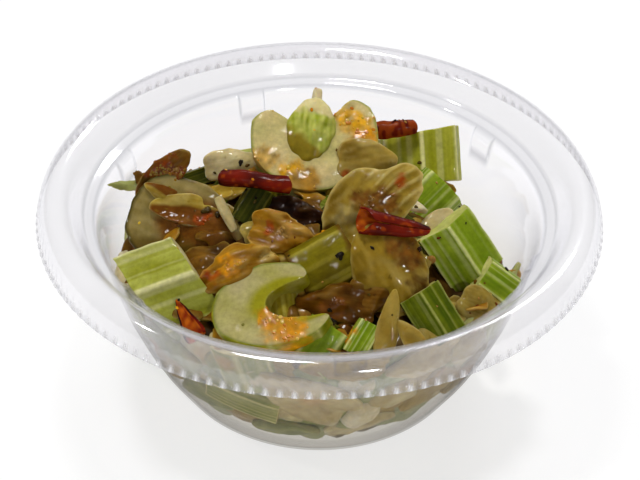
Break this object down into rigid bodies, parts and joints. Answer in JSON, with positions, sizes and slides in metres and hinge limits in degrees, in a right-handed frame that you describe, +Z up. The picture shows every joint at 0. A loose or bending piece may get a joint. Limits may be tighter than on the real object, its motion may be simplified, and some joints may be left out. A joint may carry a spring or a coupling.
{
  "type": "bowl of pickled mustard stem",
  "caption": "Clear plastic deli bowl heaped with pickled mustard stem slices, celery chunks, dried chilli and pale slivers in chilli oil.",
  "frame": {"origin": "middle of the bowl's underside, in the plane of the foot", "axes": "+Z up out of the bowl's mouth, -Y towards the front, where the food comes up to the wall, +X to the right seen from the front"},
  "size_m": [0.145, 0.145, 0.0733],
  "materials": {
    "clear_plastic": "clear, glossy, thin formed sheet",
    "celery": "wet, finely ribbed green rind over paler flesh",
    "mustard_stem": "wet, olive to amber, slightly see-through",
    "pale_stem": "wet, pale cream",
    "dark_stem": "wet, dark brown",
    "dried_chilli": "oily, dark red",
    "heap": "wet, mixed olive, green and brown"
  },
  "bodies": {
    "root": {"bowl": "clear_plastic", "salad_heap": "heap", "chilli_middle": "dried_chilli", "chilli_left": "dried_chilli", "chilli_back": "dried_chilli", "stem_strip_left": "pale_stem", "stem_fold_middle": "mustard_stem", "stem_clear_back": "pale_stem", "celery_heart_back": "celery", "celery_crescent_back": "celery", "celery_front": "celery", "stem_lobe_middle": "mustard_stem", "celery_middle": "celery", "celery_left": "celery", "celery_right": "celery", "celery_low_right": "celery", "celery_far_right": "celery", "celery_back_right": "celery", "celery_under_right": "celery", "sliver_spike": "pale_stem", "sliver_front": "pale_stem", "sliver_top": "pale_stem", "sliver_right": "pale_stem", "chilli_shard": "dried_chilli", "celery_small_front": "celery", "stem_curl_left": "dark_stem", "stem_amber_left": "mustard_stem", "stem_cup_left": "mustard_stem", "stem_amber_upper": "mustard_stem", "stem_amber_lower": "mustard_stem", "celery_small_middle": "celery", "celery_small_left": "celery", "stem_dark_middle": "dark_stem", "stem_dark_low": "dark_stem", "stem_round_low": "mustard_stem", "stem_olive_right": "mustard_stem", "stem_pale_back": "pale_stem", "celery_behind_left": "celery", "stem_behind_middle": "mustard_stem", "celery_behind_right": "celery", "stem_behind_low": "mustard_stem"}
  },
  "joints": []
}
